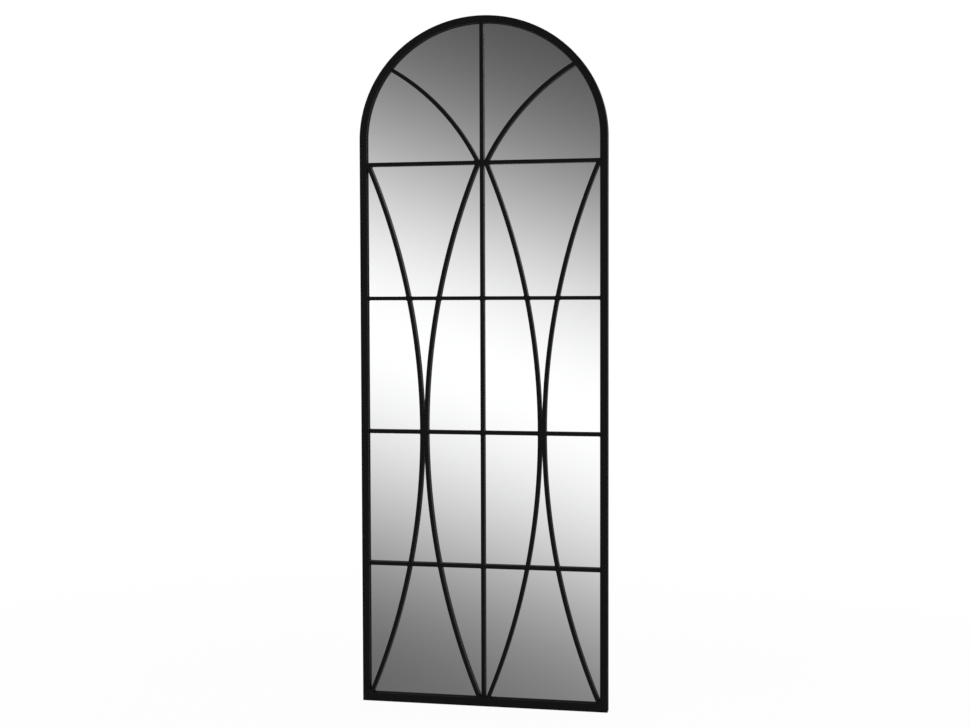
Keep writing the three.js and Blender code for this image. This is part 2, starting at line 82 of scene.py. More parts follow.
X, Y, Z = range(3)

FRONT, REAR = span("frame_arch", Y)
HALF_WIDTH = span("frame_arch", X)[1]
SPRINGING, HEIGHT = span("frame_arch", Z)
FACE = HALF_WIDTH - span("frame_stile_right", X)[0]
BASE_FACE = span("frame_base_rail", Z)[1]
OPENING_HALF = HALF_WIDTH - FACE
OPENING_RISE = HEIGHT - SPRINGING - FACE

HALF_BAR = span("mullion", X)[1]
BAR_FRONT, BAR_REAR = span("mullion", Y)
RAILS = [middle(node, Z) for node in ("rail_top", "rail_upper", "rail_middle", "rail_lower")]
TOP_RAIL, _, MIDDLE_RAIL, _ = RAILS
OUTER_APEX = span("bow_outer_right", X)[0] + HALF_BAR
INNER_APEX = span("bow_inner_right", X)[1] - HALF_BAR

# ---------------------------------------------------------------- sizes of the finish

# Frame tubes: how their corners are rounded and how finely the arch is divided.
TUBE_CORNER = 1.2 * MM
CORNER_STEPS = 6
ARCH_STEPS = 144

# Lattice: where the bent bars run, and how the bars look once welded.
NODE_OFFSET = 10.3 * MM
CORNER_INSET = 2.4 * MM
HEAD_ARC_RADIUS = 595 * MM
HEAD_ARC_DROP = 267 * MM
WELD = 3.2 * MM
BAR_SEAT = 2.5 * MM
BAR_ROUNDING = 0.35 * MM
ROUNDING_STEPS = 4

# How finely the lattice's outline is traced.
OUTLINE_STEP = 0.5 * MM
OUTLINE_TOLERANCE = 0.012 * MM
SHORTEST_OUTLINE = 20
DRAW_TRIES = 12
PROBE = 0.1 * MM
CORNER_MATCH = 1e-7
TINY = 1e-9

# Sealant round the pane: the places across its face are shares of the gap that it fills.
BEAD_BITE = 0.4 * MM
BEAD_SINK = 0.15 * MM
BEAD_DEPTH = 1.5 * MM
BEAD_LIP = -0.2
BEAD_MIDDLE = 0.4
BEAD_HOLLOW = 1.3

# Sheet parts: points nearer than SHEET_WELD are one, faces within FLAT_ANGLE degrees are one face,
# and edges sharper than FOLD_ANGLE are punched.
SHEET_WELD = 0.002 * MM
SHEET_EDGE = 0.18 * MM
SHEET_EDGE_STEPS = 2
FLAT_ANGLE = 1
FOLD_ANGLE = 60

# Pan-head screw: SCREW_SHANK is the shank's radius and SCREW_HEAD the head's thickness. SCREW_DOME
# has shares of the head's radius, and of its thickness below the top.
SCREW_SHANK = 1.5 * MM
SCREW_POINT = 3 * MM
SCREW_TIP = 0.6 * MM
SCREW_TIP_SHARE = 0.3
SCREW_HEAD = 2.0 * MM
SCREW_RIM = 0.15 * MM
SCREW_DOME = ((1, 0.62), (0.97, 0.42), (0.88, 0.22), (0.72, 0.08), (0.50, 0.01))
SCREW_TURN = 2.4

# Cross recess: a slot's length and width at its top and at its floor, then each slot's turn in
# degrees and its depth. One is a little deeper than the other.
RECESS_TOP = (3.6 * MM, 0.85 * MM)
RECESS_FLOOR = (1.9 * MM, 0.5 * MM)
RECESS_DEPTHS = ((0, 1.2 * MM), (90, 1.1 * MM))
RECESS_RISE = 0.5 * MM

# Turned forms, and the ring of bent wire.
ROUND_SIDES = 40
WIRE_SIDES = 16
RING_STEPS = 96
RING_BEND = 2.5 * MM
BEND_STEPS = 8

# Bumper: shares of its radius and of its height.
BUMPER_RIM = 0.10
DOME_STEPS = 8
DOME_RADIUS = (0.62, 0.36)
DOME_HEIGHT = (0.35, 0.65)
DIMPLE = ((0.34, 1), (0.28, 0.90), (0, 0.90))

# Points nearer than SAME_POINT are one. Edges sharper than these angles in degrees stay crisp.
SAME_POINT = 0.005 * MM
CRISP = 32
CRISP_TURNED = 40
CRISP_SHEET = 50

# ---------------------------------------------------------------- camera

IMAGE_WIDTH = 970
FOCAL_PIXELS = 1513
SENSOR = 36
CAMERA_PLACE = Vector((0.80004, -3.86338, 1.06862))
CAMERA_YAW = 11.63
CAMERA_PITCH = -2.45
CAMERA_ROLL = -0.18


def add_camera():
    """Camera at the photograph's viewing angle."""
    data = bpy.data.cameras.new("camera")
    data.sensor_width = SENSOR
    data.lens = FOCAL_PIXELS * SENSOR / IMAGE_WIDTH
    camera = bpy.data.objects.new("camera", data)
    bpy.context.scene.collection.objects.link(camera)
    aim = Euler((math.radians(90 + CAMERA_PITCH), 0, math.radians(CAMERA_YAW)), "XYZ").to_matrix()
    roll = Matrix.Rotation(math.radians(CAMERA_ROLL), 3, "Z")
    camera.matrix_world = Matrix.Translation(CAMERA_PLACE) @ (aim @ roll).to_4x4()
    bpy.context.scene.camera = camera


# ---------------------------------------------------------------- node helpers


class Nodes:
    """Short ways to add shader nodes to one tree and link them."""

    def __init__(self, tree):
        self.tree = tree
        tree.nodes.clear()

    def add(self, kind, settings=(), **inputs):
        node = self.tree.nodes.new(kind)
        for name, value in dict(settings).items():
            setattr(node, name, value)
        for name, value in inputs.items():
            self.put(node, name.replace("_", " "), value)
        return node

    def put(self, node, name, value):
        socket = node.inputs[int(name)] if name.isdigit() else node.inputs[name]
        if isinstance(value, bpy.types.NodeSocket):
            self.tree.links.new(value, socket)
        else:
            socket.default_value = value

    def math(self, operation, first, second=0.0):
        node = self.add("ShaderNodeMath", {"operation": operation})
        self.put(node, "0", first)
        self.put(node, "1", second)
        return node.outputs[0]

    def noise(self, vector, scale, detail, roughness=0.5):
        node = self.add("ShaderNodeTexNoise", Vector=vector, Scale=scale, Detail=detail, Roughness=roughness)
        return node.outputs["Fac"]

    def scaled(self, vector, scale):
        node = self.add("ShaderNodeMapping", Vector=vector, Scale=scale)
        return node.outputs["Vector"]

    def between(self, factor, low, high, start=0.0, end=1.0):
        node = self.add("ShaderNodeMapRange", Value=factor)
        for name, value in (("From Min", start), ("From Max", end), ("To Min", low), ("To Max", high)):
            self.put(node, name, value)
        return node.outputs["Result"]

    def eased(self, factor, low, high, start, end):
        node = self.between(factor, low, high, start, end).node
        node.interpolation_type = "SMOOTHSTEP"
        return node.outputs["Result"]

    def mixed(self, factor, first, second):
        node = self.add("ShaderNodeMix")
        self.put(node, "0", factor)
        self.put(node, "2", first)
        self.put(node, "3", second)
        return node.outputs[0]

    def blend(self, factor, first, second):
        node = self.add("ShaderNodeMix", {"data_type": "RGBA"})
        self.put(node, "0", factor)
        self.put(node, "6", first)
        self.put(node, "7", second)
        return node.outputs[2]

    def bump(self, height, distance, strength, normal=None):
        node = self.add("ShaderNodeBump", Height=height, Distance=distance, Strength=strength)
        if normal is not None:
            self.put(node, "Normal", normal)
        return node.outputs["Normal"]


def new_material(name):
    """A material with a Principled shader: its nodes, its shader and object coordinates."""
    material = bpy.data.materials.new(name)
    material.use_nodes = True
    nodes = Nodes(material.node_tree)
    shader = nodes.add("ShaderNodeBsdfPrincipled")
    output = nodes.add("ShaderNodeOutputMaterial")
    nodes.put(output, "Surface", shader.outputs[0])
    place = nodes.add("ShaderNodeTexCoord").outputs["Object"]
    return material, nodes, shader, place


# ---------------------------------------------------------------- materials

# Tints are linear colours. Scales are in waves to the metre, heights are those of the relief, and
# an edge is the pair of noise levels between which a tint or a gloss gives way to the next.

COAT_TINTS = ((0.0016, 0.0017, 0.0019, 1), (0.0036, 0.0037, 0.0039, 1))
COAT_SPECULAR = 0.15
COAT_ROUGHNESS = (0.37, 0.45)
MOTTLE_SCALE = 35.0
MOTTLE_EDGE = (0.3, 0.7)
COAT_GRAIN = 0.03
GRAIN_SCALE = 2600.0
GRAIN_HEIGHT = 0.012 * MM
PEEL_SCALE = 480.0
PEEL_HEIGHT = 0.08 * MM
DUST_TINT = (0.10, 0.10, 0.10, 1)
DUST_COVER = 0.08
DUST_SLOPE = (0.75, 1.0)
DUST_DULLING = 0.6


def powder_coat():
    """Satin black powder coat: faint orange peel, uneven gloss, and a trace of dust on top."""
    material, nodes, shader, place = new_material("satin_black_powder_coat")
    shader.inputs["Specular IOR Level"].default_value = COAT_SPECULAR
    mottle = nodes.noise(place, MOTTLE_SCALE, detail=4.0)
    grain = nodes.noise(place, GRAIN_SCALE, detail=2.0)
    colour = nodes.blend(mottle, *COAT_TINTS)
    upward = nodes.add("ShaderNodeSeparateXYZ", Vector=nodes.add("ShaderNodeNewGeometry").outputs["Normal"])
    cover = nodes.between(upward.outputs["Z"], 0.0, DUST_COVER, *DUST_SLOPE)
    dusty = nodes.math("MULTIPLY", cover, mottle)
    nodes.put(shader, "Base Color", nodes.blend(dusty, colour, DUST_TINT))
    dull = nodes.math("MULTIPLY", dusty, DUST_DULLING)
    gloss = nodes.math("ADD", nodes.between(mottle, *COAT_ROUGHNESS, *MOTTLE_EDGE), dull)
    nodes.put(shader, "Roughness", nodes.math("ADD", gloss, nodes.between(grain, -COAT_GRAIN, COAT_GRAIN)))
    peel = nodes.noise(place, PEEL_SCALE, detail=1.5, roughness=0.4)
    fine = nodes.bump(grain, GRAIN_HEIGHT, strength=0.8)
    nodes.put(shader, "Normal", nodes.bump(peel, PEEL_HEIGHT, strength=1.0, normal=fine))
    return material


SILVER_TINTS = ((0.955, 0.962, 0.960, 1), (0.968, 0.973, 0.972, 1))
SILVER_ROUGHNESS = (0.004, 0.022)
HAZE_SCALE = 9.0
HAZE_EDGE = (0.45, 0.8)
WAVE_SCALE = 4.0
WAVE_STRETCH = (1.0, 1.0, 0.35)
WAVE_HEIGHT = 0.012 * MM


def silvered_glass():
    """Silvered float glass: a clean reflector with a trace of haze and of waviness."""
    material, nodes, shader, place = new_material("silvered_glass")
    shader.inputs["Metallic"].default_value = 1.0
    haze = nodes.noise(place, HAZE_SCALE, detail=5.0, roughness=0.6)
    nodes.put(shader, "Base Color", nodes.blend(haze, *SILVER_TINTS))
    nodes.put(shader, "Roughness", nodes.between(haze, *SILVER_ROUGHNESS, *HAZE_EDGE))
    wave = nodes.noise(nodes.scaled(place, WAVE_STRETCH), WAVE_SCALE, detail=1.0)
    nodes.put(shader, "Normal", nodes.bump(wave, WAVE_HEIGHT, strength=0.5))
    return material


BOARD_TINTS = ((0.174, 0.097, 0.050, 1), (0.222, 0.127, 0.066, 1))
BOARD_ROUGHNESS = (0.52, 0.72)
CLOUD_SCALE = 6.0
CLOUD_STRETCH = (1.0, 1.0, 0.6)
CLOUD_EDGE = (0.32, 0.68)
FIBRE_TINT = (0.33, 0.21, 0.12, 1)
FIBRE_SCALE = 900.0
FIBRE_STRETCH = (1.0, 1.0, 0.45)
FIBRE_COVER = 0.5
FIBRE_EDGE = (0.35, 0.7)
FIBRE_HEIGHT = 0.05 * MM
FLECK_TINT = (0.07, 0.036, 0.018, 1)
FLECK_SCALE = 420.0
FLECK_COVER = 0.6
FLECK_EDGE = (0.62, 0.75)


def brown_hardboard():
    """Smooth side of brown hardboard: pressed fibres, darker flecks and soft clouds."""
    material, nodes, shader, place = new_material("brown_hardboard")
    fibres = nodes.noise(nodes.scaled(place, FIBRE_STRETCH), FIBRE_SCALE, detail=4.0, roughness=0.7)
    clouds = nodes.noise(nodes.scaled(place, CLOUD_STRETCH), CLOUD_SCALE, detail=7.0, roughness=0.62)
    specks = nodes.noise(place, FLECK_SCALE, detail=2.0)
    flecks = nodes.between(specks, 0.0, FLECK_COVER, *FLECK_EDGE)
    base = nodes.blend(nodes.between(clouds, 0.0, 1.0, *CLOUD_EDGE), *BOARD_TINTS)
    threads = nodes.blend(nodes.between(fibres, 0.0, FIBRE_COVER, *FIBRE_EDGE), base, FIBRE_TINT)
    nodes.put(shader, "Base Color", nodes.blend(flecks, threads, FLECK_TINT))
    nodes.put(shader, "Roughness", nodes.between(fibres, *BOARD_ROUGHNESS))
    nodes.put(shader, "Normal", nodes.bump(fibres, FIBRE_HEIGHT, strength=0.6))
    return material


ZINC_TINTS = ((0.58, 0.61, 0.65, 1), (0.67, 0.66, 0.60, 1))
ZINC_SCALE = 120.0
ZINC_ROUGHNESS = (0.22, 0.36)
DRAWN_SCALE = 5200.0
DRAWN_STRETCH = (1.0, 1.0, 0.06)
DRAWN_HEIGHT = 0.006 * MM
SPOT_TINT = (0.42, 0.42, 0.42, 1)
SPOT_SCALE = 700.0
SPOT_COVER = 0.35
SPOT_EDGE = (0.60, 0.72)
SPOT_DULLING = 0.14


def zinc_plate():
    """Bright zinc plate: a cool and a warm tint, drawing lines and small dull spots."""
    material, nodes, shader, place = new_material("bright_zinc_plate")
    shader.inputs["Metallic"].default_value = 1.0
    tint = nodes.noise(place, ZINC_SCALE, detail=3.0)
    drawn = nodes.noise(nodes.scaled(place, DRAWN_STRETCH), DRAWN_SCALE, detail=2.0)
    spots = nodes.between(nodes.noise(place, SPOT_SCALE, detail=2.0), 0.0, 1.0, *SPOT_EDGE)
    plate = nodes.blend(tint, *ZINC_TINTS)
    nodes.put(shader, "Base Color", nodes.blend(nodes.math("MULTIPLY", spots, SPOT_COVER), plate, SPOT_TINT))
    dull = nodes.math("MULTIPLY", spots, SPOT_DULLING)
    nodes.put(shader, "Roughness", nodes.math("ADD", nodes.between(drawn, *ZINC_ROUGHNESS), dull))
    nodes.put(shader, "Normal", nodes.bump(drawn, DRAWN_HEIGHT, strength=0.6))
    return material


RUBBER_TINTS = ((0.012, 0.012, 0.012, 1), (0.034, 0.034, 0.035, 1))
RUBBER_SPECULAR = 0.3
RUBBER_ROUGHNESS = (0.68, 0.88)
BLOOM_SCALE = 260.0
PORE_SCALE = 1900.0
PORE_HEIGHT = 0.02 * MM


def black_rubber():
    """Moulded rubber: matt, a little grey where it has bloomed."""
    material, nodes, shader, place = new_material("matt_black_rubber")
    shader.inputs["Specular IOR Level"].default_value = RUBBER_SPECULAR
    bloom = nodes.noise(place, BLOOM_SCALE, detail=4.0)
    nodes.put(shader, "Base Color", nodes.blend(bloom, *RUBBER_TINTS))
    nodes.put(shader, "Roughness", nodes.between(bloom, *RUBBER_ROUGHNESS))
    pores = nodes.noise(place, PORE_SCALE, detail=2.0)
    nodes.put(shader, "Normal", nodes.bump(pores, PORE_HEIGHT, strength=0.6))
    return material


FOAM_TINTS = ((0.60, 0.58, 0.52, 1), (0.80, 0.78, 0.72, 1))
FOAM_ROUGHNESS = (0.80, 0.95)
CELL_SCALE = 1400.0
CELL_HEIGHT = 0.08 * MM


def foam_tape():
    """Closed-cell foam: pale, with small cells."""
    material, nodes, shader, place = new_material("pale_foam")
    cells = nodes.add("ShaderNodeTexVoronoi", Vector=place, Scale=CELL_SCALE).outputs["Distance"]
    nodes.put(shader, "Base Color", nodes.blend(cells, *FOAM_TINTS))
    nodes.put(shader, "Roughness", nodes.between(cells, *FOAM_ROUGHNESS))
    nodes.put(shader, "Normal", nodes.bump(cells, CELL_HEIGHT, strength=0.7))
    return material


FINISHES = {
    "black_paint": powder_coat(),
    "mirror_glass": silvered_glass(),
    "hardboard": brown_hardboard(),
    "zinc_plate": zinc_plate(),
    "black_rubber": black_rubber(),
    "foam": foam_tape(),
}
SLOT_OF = {part["node"]: part["material_slot"] for part in frame["record"]["subparts"]}
BODY_OF = {node: body for body, nodes in frame["record"]["behaviour"]["bodies"].items() for node in nodes}

# ---------------------------------------------------------------- mesh helpers


def shade(mesh, angle):
    """Smooth shading, with the edges sharper than `angle` degrees kept crisp."""
    grid = bmesh.new()
    grid.from_mesh(mesh)
    for face in grid.faces:
        face.smooth = True
    for edge in grid.edges:
        edge.smooth = edge.is_manifold and edge.calc_face_angle() < math.radians(angle)
    grid.to_mesh(mesh)
    grid.free()


def smooth_object(name, mesh, angle=CRISP):
    """An object in the scene with smooth shading, whose flat faces stay flat."""
    shade(mesh, angle)
    made = bpy.data.objects.new(name, mesh)
    bpy.context.scene.collection.objects.link(made)
    made.modifiers.new("flat faces stay flat", "WEIGHTED_NORMAL").keep_sharp = True
    return made


def piece(name, mesh, nodes, angle=CRISP):
    """A finished piece that stands for some nodes: it takes their finish and rides on their body."""
    made = smooth_object(name, mesh, angle)
    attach(made, BODY_OF[nodes[0]])
    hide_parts(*nodes)
    mesh.materials.clear()
    mesh.materials.append(FINISHES[SLOT_OF[nodes[0]]])


def mesh_of(name, grid):
    """A mesh with a grid's faces, turned outwards."""
    bmesh.ops.recalc_face_normals(grid, faces=grid.faces)
    mesh = bpy.data.meshes.new(name)
    grid.to_mesh(mesh)
    grid.free()
    return mesh


def weld_points(grid):
    """Joins points that fall together and takes out the slivers between them."""
    bmesh.ops.remove_doubles(grid, verts=grid.verts, dist=SAME_POINT)
    bmesh.ops.dissolve_degenerate(grid, dist=SAME_POINT, edges=grid.edges)


def ring_mesh(name, rings, closed=False):
    """A mesh from rings of points, one after another: capped at its ends, or closed on itself."""
    grid = bmesh.new()
    loops = [[grid.verts.new(point) for point in ring] for ring in rings]
    pairs = list(zip(loops, loops[1:]))
    if closed:
        pairs.append((loops[-1], loops[0]))
    else:
        grid.faces.new(loops[0])
        grid.faces.new(loops[-1][::-1])
    for near, far in pairs:
        for a, b, c, d in zip(near, near[1:] + near[:1], far[1:] + far[:1], far):
            grid.faces.new((a, b, c, d))
    return mesh_of(name, grid)


def turned_mesh(name, profile):
    """A solid turned about the Y axis from (radius, y) points that start and end on the axis."""
    grid = bmesh.new()
    angles = [2 * math.pi * side / ROUND_SIDES for side in range(ROUND_SIDES)]
    rings = []
    for radius, y in profile:
        if radius == 0:
            rings.append([grid.verts.new((0, y, 0))] * ROUND_SIDES)
            continue
        rings.append([grid.verts.new((radius * math.cos(a), y, radius * math.sin(a))) for a in angles])
    for near, far in zip(rings, rings[1:]):
        for a, b, c, d in zip(near, near[1:] + near[:1], far[1:] + far[:1], far):
            grid.faces.new(list(dict.fromkeys((a, b, c, d))))
    return mesh_of(name, grid)


# ---------------------------------------------------------------- frame tubes


def tube_section():
    """Section of the tube's outside as (share of the face, y), with rounded corners."""
    points = []
    corners = ((1, REAR, 0), (0, REAR, 1), (0, FRONT, 2), (1, FRONT, 3))
    for side, edge, turn in corners:
        for step in range(CORNER_STEPS + 1):
            angle = math.radians(90 * (turn + step / CORNER_STEPS))
            across = side * FACE + TUBE_CORNER * (math.cos(angle) - (1 if side else -1))
            along = edge + TUBE_CORNER * (math.sin(angle) - (1 if edge > 0 else -1))
            points.append((across / FACE, along))
    return points


SECTION = tube_section()


def frame_arch():
    """The arched tube, from the right springing over to the left."""
    half_span = HALF_WIDTH - FACE / 2
    rise = HEIGHT - SPRINGING - FACE / 2
    rings = []
    for step in range(ARCH_STEPS + 1):
        angle = math.pi * step / ARCH_STEPS
        centre = Vector((half_span * math.cos(angle), 0, SPRINGING + rise * math.sin(angle)))
        outward = Vector((rise * math.cos(angle), 0, half_span * math.sin(angle))).normalized()
        out = [centre + outward * ((0.5 - share) * FACE) for share, _ in SECTION]
        rings.append([point + Vector((0, y, 0)) for point, (_, y) in zip(out, SECTION)])
    piece("frame_arch_tube", ring_mesh("frame_arch_tube", rings), ["frame_arch"])


def mitre(sign):
    """The tube's section where a stile meets the base rail."""
    return [Vector((sign * (HALF_WIDTH - share * FACE), y, share * BASE_FACE)) for share, y in SECTION]


def frame_stile(side, sign):
    """One stile: from the mitre with the base rail up to the springing."""
    foot = mitre(sign)
    head = [Vector((point.x, point.y, SPRINGING)) for point in foot]
    name = f"frame_stile_{side}_tube"
    piece(name, ring_mesh(name, [foot, head]), [f"frame_stile_{side}"])


def frame_base():
    """The base rail between its two mitres."""
    piece("frame_base_tube", ring_mesh("frame_base_tube", [mitre(-1), mitre(1)]), ["frame_base_rail"])


# ---------------------------------------------------------------- lattice


def soft_union(first, second, reach):
    """Union of two distance fields, filleted where they meet as a weld is."""
    overlap = np.maximum(reach - np.abs(first - second), 0) / reach
    return np.minimum(first, second) - overlap * overlap * reach / 4


def soft_overlap(first, second, reach):
    """Overlap of two distance fields, rounded off where their edges meet."""
    return -soft_union(-first, -second, reach)


def bow_field(x, z, sign, end, apex):
    """Distance to one bow, which runs from the top rail down to the base."""
    chord, sagitta = TOP_RAIL - MIDDLE_RAIL, abs(end - apex)
    radius = (chord**2 + sagitta**2) / (2 * sagitta)
    centre = apex + math.copysign(radius, end - apex)
    ring = np.abs(np.hypot(x - sign * centre, z - MIDDLE_RAIL) - radius) - HALF_BAR
    return np.maximum(ring, np.maximum(z - TOP_RAIL, -sign * x))


def head_arc_field(x, z, sign):
    """Distance to one arc in the arched head."""
    centre = NODE_OFFSET + math.sqrt(HEAD_ARC_RADIUS**2 - HEAD_ARC_DROP**2)
    ring = np.abs(np.hypot(x - sign * centre, z - TOP_RAIL + HEAD_ARC_DROP) - HEAD_ARC_RADIUS) - HALF_BAR
    return np.maximum(ring, np.maximum(TOP_RAIL - z, -sign * x))


def opening_field(x, z):
    """Distance to the edge of the frame's opening, below zero inside it."""
    rise = np.maximum(z - SPRINGING, 0)
    reach = np.hypot(x / OPENING_HALF, rise / OPENING_RISE)
    slope = np.hypot(x / OPENING_HALF**2, rise / OPENING_RISE**2) / np.maximum(reach, TINY)
    return np.maximum((reach - 1) / np.maximum(slope, TINY), BASE_FACE - z)


def lattice_field(x, z):
    """Distance to the welded lattice, below zero in the metal."""
    field = np.abs(x) - HALF_BAR
    for height in RAILS:
        field = soft_union(field, np.abs(z - height) - HALF_BAR, WELD)
    for sign in (-1, 1):
        for end, apex in ((OPENING_HALF - CORNER_INSET, OUTER_APEX), (NODE_OFFSET, INNER_APEX)):
            field = soft_union(field, bow_field(x, z, sign, end, apex), WELD)
        field = soft_union(field, head_arc_field(x, z, sign), WELD)
    opening = opening_field(x, z)
    welded = soft_union(field, -opening, WELD)
    foot = soft_overlap(field - 2 * WELD, opening - BAR_SEAT, WELD)
    return soft_overlap(welded, foot, WELD)


def trace_outlines(field, xs, zs):
    """Closed outlines where a field on a grid crosses zero, as arrays of (x, z) points."""
    inside = field < 0
    points = {}
    for axis in (0, 1):
        near = field[:-1] if axis == 0 else field[:, :-1]
        far = field[1:] if axis == 0 else field[:, 1:]
        rows, columns = np.nonzero((near < 0) != (far < 0))
        shares = near[rows, columns] / (near[rows, columns] - far[rows, columns])
        x = xs[columns] + (shares * (xs[1] - xs[0]) if axis else 0)
        z = zs[rows] + (0 if axis else shares * (zs[1] - zs[0]))
        points.update(zip(zip([axis] * len(rows), rows.tolist(), columns.tolist()), zip(x, z)))
    corners = inside[:-1, :-1] * 1 + inside[:-1, 1:] * 2 + inside[1:, 1:] * 4 + inside[1:, :-1] * 8
    links = {}
    for row, column in zip(*(index.tolist() for index in np.nonzero((corners > 0) & (corners < 15)))):
        low, right = (1, row, column), (0, row, column + 1)
        high, left = (1, row + 1, column), (0, row, column)
        crossed = [edge for edge in (low, right, high, left) if edge in points]
        for first, second in zip(crossed[::2], crossed[1::2]):
            links.setdefault(first, []).append(second)
            links.setdefault(second, []).append(first)
    loops = []
    while links:
        start = edge = next(iter(links))
        loop = []
        while edge in links:
            ways = links.pop(edge)
            loop.append(points[edge])
            edge = next((way for way in ways if way in links), start)
        loops.append(np.array(loop))
    return loops


def simplified(loop, tolerance):
    """A closed outline with only the points that its shape needs."""
    far = int(np.argmax(np.hypot(*(loop - loop[0]).T)))
    kept = {0, far}
    spans = [(0, far), (far, len(loop))]
    ring = np.vstack([loop, loop[:1]])
    while spans:
        first, last = spans.pop()
        if last - first < 2:
            continue
        chord = ring[last] - ring[first]
        inner = ring[first + 1:last] - ring[first]
        away = np.abs(inner[:, 0] * chord[1] - inner[:, 1] * chord[0]) / max(np.hypot(*chord), TINY)
        worst = int(np.argmax(away))
        if away[worst] > tolerance:
            kept.add(first + 1 + worst)
            spans += [(first, first + 1 + worst), (first + 1 + worst, last)]
    return loop[sorted(kept)]


def vertex_normals(loop, field):
    """Unit ways out of the metal at the points of an outline, longer at its corners."""
    edges = np.roll(loop, -1, axis=0) - loop
    sides = np.column_stack([edges[:, 1], -edges[:, 0]]) / np.hypot(*edges.T)[:, None]
    middles = loop + edges / 2
    out = field(*(middles + PROBE * sides).T) - field(*(middles - PROBE * sides).T)
    sides *= math.copysign(1, np.median(out))
    bisector = sides + np.roll(sides, 1, axis=0)
    return bisector / np.maximum((bisector**2).sum(axis=1) / 2, 0.5)[:, None]


def drawn_in(loop, field, depth):
    """An outline moved into the metal, with the ends of each edge that would turn over drawn together."""
    edges = np.roll(loop, -1, axis=0) - loop
    inner = loop - depth * vertex_normals(loop, field)
    for _ in range(DRAW_TRIES):
        turned = ((np.roll(inner, -1, axis=0) - inner) * edges).sum(axis=1) < 0
        for index in np.nonzero(turned)[0]:
            pair = [index, (index + 1) % len(inner)]
            inner[pair] = inner[pair].mean(axis=0)
    return inner


def in_metal(spots, starts, ends):
    """Which spots lie inside the outlines: those with an odd number of edges to their right."""
    x, z = spots[:, :1], spots[:, 1:]
    level = starts[:, 1] == ends[:, 1]
    rise = np.where(level, 1, ends[:, 1] - starts[:, 1])
    reach = starts[:, 0] + (z - starts[:, 1]) * (ends[:, 0] - starts[:, 0]) / rise
    crossed = (starts[:, 1] > z) != (ends[:, 1] > z)
    return (crossed & (x < reach)).sum(axis=1) % 2 == 1


def lattice_mesh(loops, field):
    """The outlines as one plate with rounded edges, as thick as the bars."""
    rounding = [math.radians(90 * step / ROUNDING_STEPS) for step in range(ROUNDING_STEPS + 1)]
    half_depth = (BAR_REAR - BAR_FRONT) / 2 - BAR_ROUNDING
    profile = [(1 - math.sin(turn), -half_depth - BAR_ROUNDING * math.cos(turn)) for turn in rounding]
    profile += [(1 - math.cos(turn), half_depth + BAR_ROUNDING * math.sin(turn)) for turn in rounding]
    outline = np.vstack(loops)
    inset = np.vstack([drawn_in(loop, field, BAR_ROUNDING) for loop in loops])
    starts = np.cumsum([0] + [len(loop) for loop in loops])
    edges = [
        (start + index, start + (index + 1) % (stop - start))
        for start, stop in zip(starts.tolist(), starts[1:].tolist())
        for index in range(stop - start)
    ]
    flat = [Vector(spot) for spot in inset]
    spots, _, faces, sources, _, _ = delaunay_2d_cdt(flat, edges, [], 0, CORNER_MATCH, True)
    centres = np.array(spots)[np.array(faces)].mean(axis=1)
    kept = in_metal(centres, inset, inset[[second for _, second in edges]])
    middle_plane = (BAR_FRONT + BAR_REAR) / 2
    grid = bmesh.new()
    layers = []
    for share, y in profile:
        points = outline + share * (inset - outline)
        layers.append([grid.verts.new((x, middle_plane + y, z)) for x, z in points.tolist()])
    for near, far in zip(layers, layers[1:]):
        for first, second in edges:
            grid.faces.new((near[first], near[second], far[second], far[first]))
    for layer, (_, y) in ((layers[0], profile[0]), (layers[-1], profile[-1])):
        corners = [
            layer[source[0]] if source else grid.verts.new((x, middle_plane + y, z))
            for (x, z), source in zip(spots, sources)
        ]
        for face in np.array(faces)[kept].tolist():
            grid.faces.new([corners[corner] for corner in face])
    weld_points(grid)
    return mesh_of("lattice", grid)


def lattice():
    """All the bars as they are after welding: flush, with small fillets in the corners."""
    margin = BAR_SEAT + 2 * OUTLINE_STEP
    xs = np.arange(-OPENING_HALF - margin, OPENING_HALF + margin, OUTLINE_STEP)
    zs = np.arange(BASE_FACE - margin, HEIGHT - FACE + margin, OUTLINE_STEP)
    field = lattice_field(xs[None, :], zs[:, None])
    traced = [loop for loop in trace_outlines(field, xs, zs) if len(loop) > SHORTEST_OUTLINE]
    loops = [simplified(loop, OUTLINE_TOLERANCE) for loop in traced]
    bars = [node for node in BODY_OF if node.startswith(("mullion", "rail_", "bow_", "head_arc_"))]
    piece("lattice_welded", lattice_mesh(loops, lattice_field), sorted(bars))


# ---------------------------------------------------------------- hardware


def sheet_part(node):
    """A bent sheet part with its punched edges eased."""
    mesh = frame["nodes"][node].data.copy()
    grid = bmesh.new()
    grid.from_mesh(mesh)
    bmesh.ops.remove_doubles(grid, verts=grid.verts, dist=SHEET_WELD)
    bmesh.ops.dissolve_limit(grid, angle_limit=math.radians(FLAT_ANGLE), verts=grid.verts, edges=grid.edges)
    fold = math.radians(FOLD_ANGLE)
    sharp = [edge for edge in grid.edges if edge.is_manifold and edge.calc_face_angle() > fold]
    bmesh.ops.bevel(
        grid,
        geom=sharp,
        offset=SHEET_EDGE,
        segments=SHEET_EDGE_STEPS,
        profile=0.5,
        affect="EDGES",
        clamp_overlap=False,
    )
    grid.to_mesh(mesh)
    grid.free()
    mesh.name = f"{node}_sheet"
    piece(mesh.name, mesh, [node], CRISP_SHEET)


